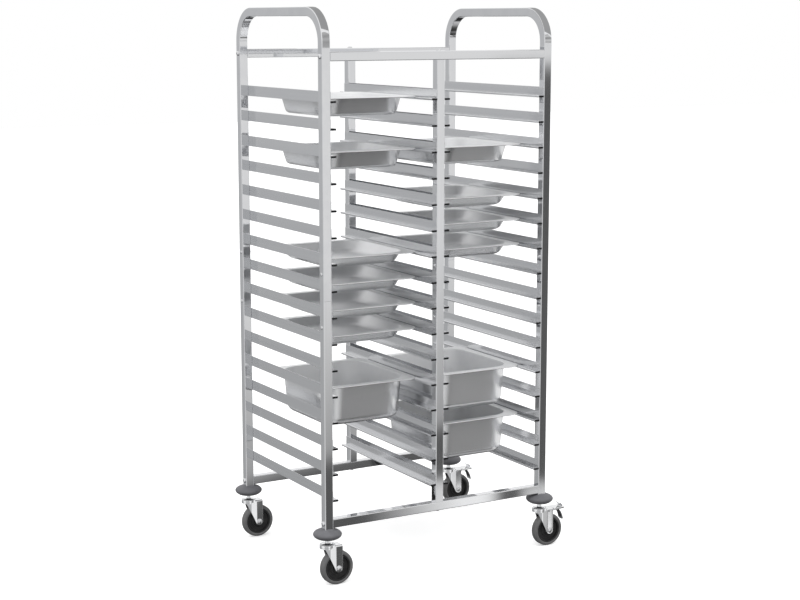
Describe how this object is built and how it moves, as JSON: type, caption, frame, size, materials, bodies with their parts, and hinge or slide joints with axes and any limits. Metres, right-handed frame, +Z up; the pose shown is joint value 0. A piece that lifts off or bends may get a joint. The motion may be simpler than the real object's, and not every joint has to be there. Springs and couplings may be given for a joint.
{
  "type": "gastronorm tray trolley",
  "caption": "Free-standing two-column rack trolley of square steel tube with L-shaped tray rails, bent push handles, corner bumpers, swivel castors and loose food pans that slide on the rails.",
  "frame": {"origin": "on the floor, at the middle of the trolley's bounding box", "axes": "+Z up, +X along the front from left to right, +Y from front to back"},
  "size_m": [0.8485, 0.6066, 1.6159],
  "materials": {
    "tube_steel": "polished",
    "rail_steel": "polished",
    "pan_steel": "satin",
    "inner_steel": "plain",
    "bolt_steel": "polished",
    "zinc_steel": "bright zinc",
    "bumper_plastic": "matt",
    "wheel_plastic": "matt",
    "tyre_rubber": "matt"
  },
  "bodies": {
    "frame": {"upper_hoop_left": "tube_steel", "upper_hoop_right": "tube_steel", "lower_leg_front_left": "tube_steel", "lower_leg_back_left": "tube_steel", "lower_leg_front_right": "tube_steel", "lower_leg_back_right": "tube_steel", "mid_posts_upper": "tube_steel", "mid_posts_lower": "tube_steel", "rails_left": "rail_steel", "rails_mid_left": "rail_steel", "rails_mid_right": "rail_steel", "rails_right": "rail_steel", "top_crossbar_front": "tube_steel", "top_crossbar_back": "tube_steel", "bottom_crossbar_front": "tube_steel", "bottom_crossbar_back": "tube_steel", "post_sleeves": "inner_steel", "joint_screws": "bolt_steel", "joint_nuts": "bolt_steel", "bar_end_plugs": "inner_steel", "crossbar_bolts": "bolt_steel", "mid_post_bolts": "bolt_steel", "foot_plugs": "inner_steel", "corner_bumpers": "bumper_plastic", "castor_stems": "zinc_steel", "swivel_bearings": "zinc_steel"},
    "castor_front_left": {"castor_fork_front_left": "zinc_steel", "castor_axle_front_left": "zinc_steel"},
    "wheel_front_left": {"wheel_hub_front_left": "wheel_plastic", "wheel_tyre_front_left": "tyre_rubber"},
    "castor_back_left": {"castor_fork_back_left": "zinc_steel", "castor_axle_back_left": "zinc_steel"},
    "wheel_back_left": {"wheel_hub_back_left": "wheel_plastic", "wheel_tyre_back_left": "tyre_rubber"},
    "castor_front_right": {"castor_fork_front_right": "zinc_steel", "castor_axle_front_right": "zinc_steel", "brake_pin_front_right": "zinc_steel"},
    "wheel_front_right": {"wheel_hub_front_right": "wheel_plastic", "wheel_tyre_front_right": "tyre_rubber"},
    "pedal_front_right": {"brake_pedal_front_right": "zinc_steel"},
    "castor_back_right": {"castor_fork_back_right": "zinc_steel", "castor_axle_back_right": "zinc_steel", "brake_pin_back_right": "zinc_steel"},
    "wheel_back_right": {"wheel_hub_back_right": "wheel_plastic", "wheel_tyre_back_right": "tyre_rubber"},
    "pedal_back_right": {"brake_pedal_back_right": "zinc_steel"},
    "tray_left_01": {"pan_left_01": "pan_steel"},
    "tray_left_03": {"pan_left_03": "pan_steel"},
    "tray_left_07": {"pan_left_07": "pan_steel"},
    "tray_left_08": {"pan_left_08": "pan_steel"},
    "tray_left_09": {"pan_left_09": "pan_steel"},
    "tray_left_10": {"pan_left_10": "pan_steel"},
    "tray_left_12": {"pan_left_12": "pan_steel"},
    "tray_right_03": {"pan_right_03": "pan_steel"},
    "tray_right_05": {"pan_right_05": "pan_steel"},
    "tray_right_06": {"pan_right_06": "pan_steel"},
    "tray_right_07": {"pan_right_07": "pan_steel"},
    "tray_right_12": {"pan_right_12": "pan_steel"},
    "tray_right_14": {"pan_right_14": "pan_steel"}
  },
  "joints": [
    {"name": "swivel_front_left", "type": "hinge", "parent": "frame", "child": "castor_front_left", "pos_m": [-0.3833, -0.2623, 0.11745], "axis": [0, 0, 1], "continuous": true},
    {"name": "roll_front_left", "type": "hinge", "parent": "castor_front_left", "child": "wheel_front_left", "pos_m": [-0.3553, -0.2623, 0.0495], "axis": [0, 1, 0], "continuous": true},
    {"name": "swivel_back_left", "type": "hinge", "parent": "frame", "child": "castor_back_left", "pos_m": [-0.3833, 0.2623, 0.11745], "axis": [0, 0, 1], "continuous": true},
    {"name": "roll_back_left", "type": "hinge", "parent": "castor_back_left", "child": "wheel_back_left", "pos_m": [-0.3553, 0.2623, 0.0495], "axis": [0, 1, 0], "continuous": true},
    {"name": "swivel_front_right", "type": "hinge", "parent": "frame", "child": "castor_front_right", "pos_m": [0.3413, -0.2623, 0.11745], "axis": [0, 0, 1], "continuous": true},
    {"name": "roll_front_right", "type": "hinge", "parent": "castor_front_right", "child": "wheel_front_right", "pos_m": [0.3693, -0.2623, 0.0495], "axis": [0, 1, 0], "continuous": true},
    {"name": "brake_front_right", "type": "hinge", "parent": "castor_front_right", "child": "pedal_front_right", "pos_m": [0.3648, -0.2623, 0.1112], "axis": [0, 1, 0], "range_deg": [0, 7]},
    {"name": "swivel_back_right", "type": "hinge", "parent": "frame", "child": "castor_back_right", "pos_m": [0.3413, 0.2623, 0.11745], "axis": [0, 0, 1], "continuous": true},
    {"name": "roll_back_right", "type": "hinge", "parent": "castor_back_right", "child": "wheel_back_right", "pos_m": [0.3693, 0.2623, 0.0495], "axis": [0, 1, 0], "continuous": true},
    {"name": "brake_back_right", "type": "hinge", "parent": "castor_back_right", "child": "pedal_back_right", "pos_m": [0.3648, 0.2623, 0.1112], "axis": [0, 1, 0], "range_deg": [0, 7]},
    {"name": "slide_left_01", "type": "slide", "parent": "frame", "child": "tray_left_01", "axis": [0, -1, 0], "range_m": [-0.11, 0.24]},
    {"name": "slide_left_03", "type": "slide", "parent": "frame", "child": "tray_left_03", "axis": [0, -1, 0], "range_m": [-0.11, 0.24]},
    {"name": "slide_left_07", "type": "slide", "parent": "frame", "child": "tray_left_07", "axis": [0, -1, 0], "range_m": [-0.11, 0.24]},
    {"name": "slide_left_08", "type": "slide", "parent": "frame", "child": "tray_left_08", "axis": [0, -1, 0], "range_m": [-0.11, 0.24]},
    {"name": "slide_left_09", "type": "slide", "parent": "frame", "child": "tray_left_09", "axis": [0, -1, 0], "range_m": [-0.11, 0.24]},
    {"name": "slide_left_10", "type": "slide", "parent": "frame", "child": "tray_left_10", "axis": [0, -1, 0], "range_m": [-0.11, 0.24]},
    {"name": "slide_left_12", "type": "slide", "parent": "frame", "child": "tray_left_12", "axis": [0, -1, 0], "range_m": [-0.11, 0.24]},
    {"name": "slide_right_03", "type": "slide", "parent": "frame", "child": "tray_right_03", "axis": [0, -1, 0], "range_m": [-0.11, 0.24]},
    {"name": "slide_right_05", "type": "slide", "parent": "frame", "child": "tray_right_05", "axis": [0, -1, 0], "range_m": [-0.11, 0.24]},
    {"name": "slide_right_06", "type": "slide", "parent": "frame", "child": "tray_right_06", "axis": [0, -1, 0], "range_m": [-0.11, 0.24]},
    {"name": "slide_right_07", "type": "slide", "parent": "frame", "child": "tray_right_07", "axis": [0, -1, 0], "range_m": [-0.11, 0.24]},
    {"name": "slide_right_12", "type": "slide", "parent": "frame", "child": "tray_right_12", "axis": [0, -1, 0], "range_m": [-0.11, 0.24]},
    {"name": "slide_right_14", "type": "slide", "parent": "frame", "child": "tray_right_14", "axis": [0, -1, 0], "range_m": [-0.11, 0.24]}
  ]
}
